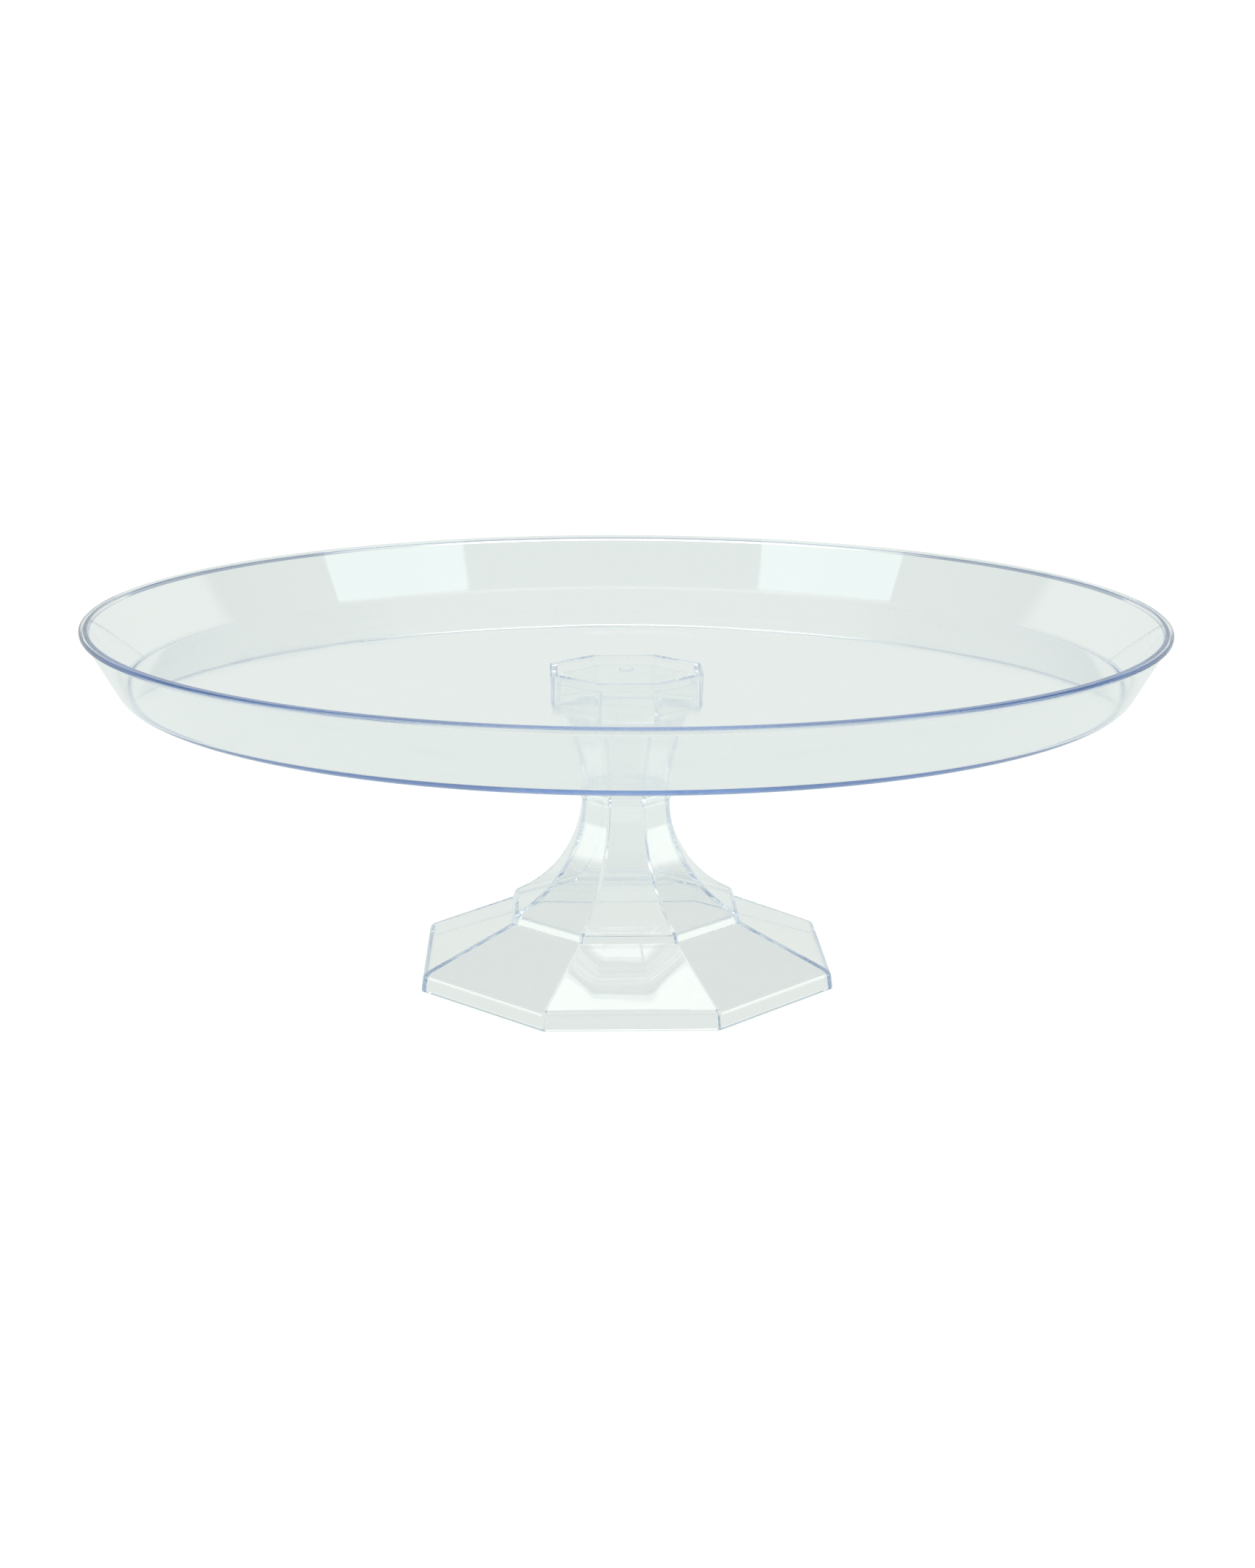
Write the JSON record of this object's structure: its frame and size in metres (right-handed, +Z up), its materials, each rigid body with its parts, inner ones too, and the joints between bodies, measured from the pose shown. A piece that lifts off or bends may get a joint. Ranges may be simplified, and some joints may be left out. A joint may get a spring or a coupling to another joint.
{
  "type": "cake stand",
  "caption": "Clear plastic cake stand: a round shallow tray with a sloping wall that lifts off the plug on top of a hollow octagonal pedestal foot.",
  "frame": {"origin": "centre of the pedestal's underside, on the surface that the stand rests on", "axes": "+Z up along the axis of the tray and the pedestal; +X and +Y square to two neighbouring pairs of the pedestal's flats"},
  "size_m": [0.305, 0.305, 0.1054],
  "materials": {
    "tray": "clear polished polystyrene",
    "pedestal": "clear polished polystyrene"
  },
  "bodies": {
    "pedestal": {"pedestal": "pedestal"},
    "tray": {"tray": "tray"}
  },
  "joints": [
    {"name": "tray_lift", "type": "slide", "parent": "pedestal", "child": "tray", "axis": [0, 0, 1], "range_m": [0, 0.04]}
  ]
}
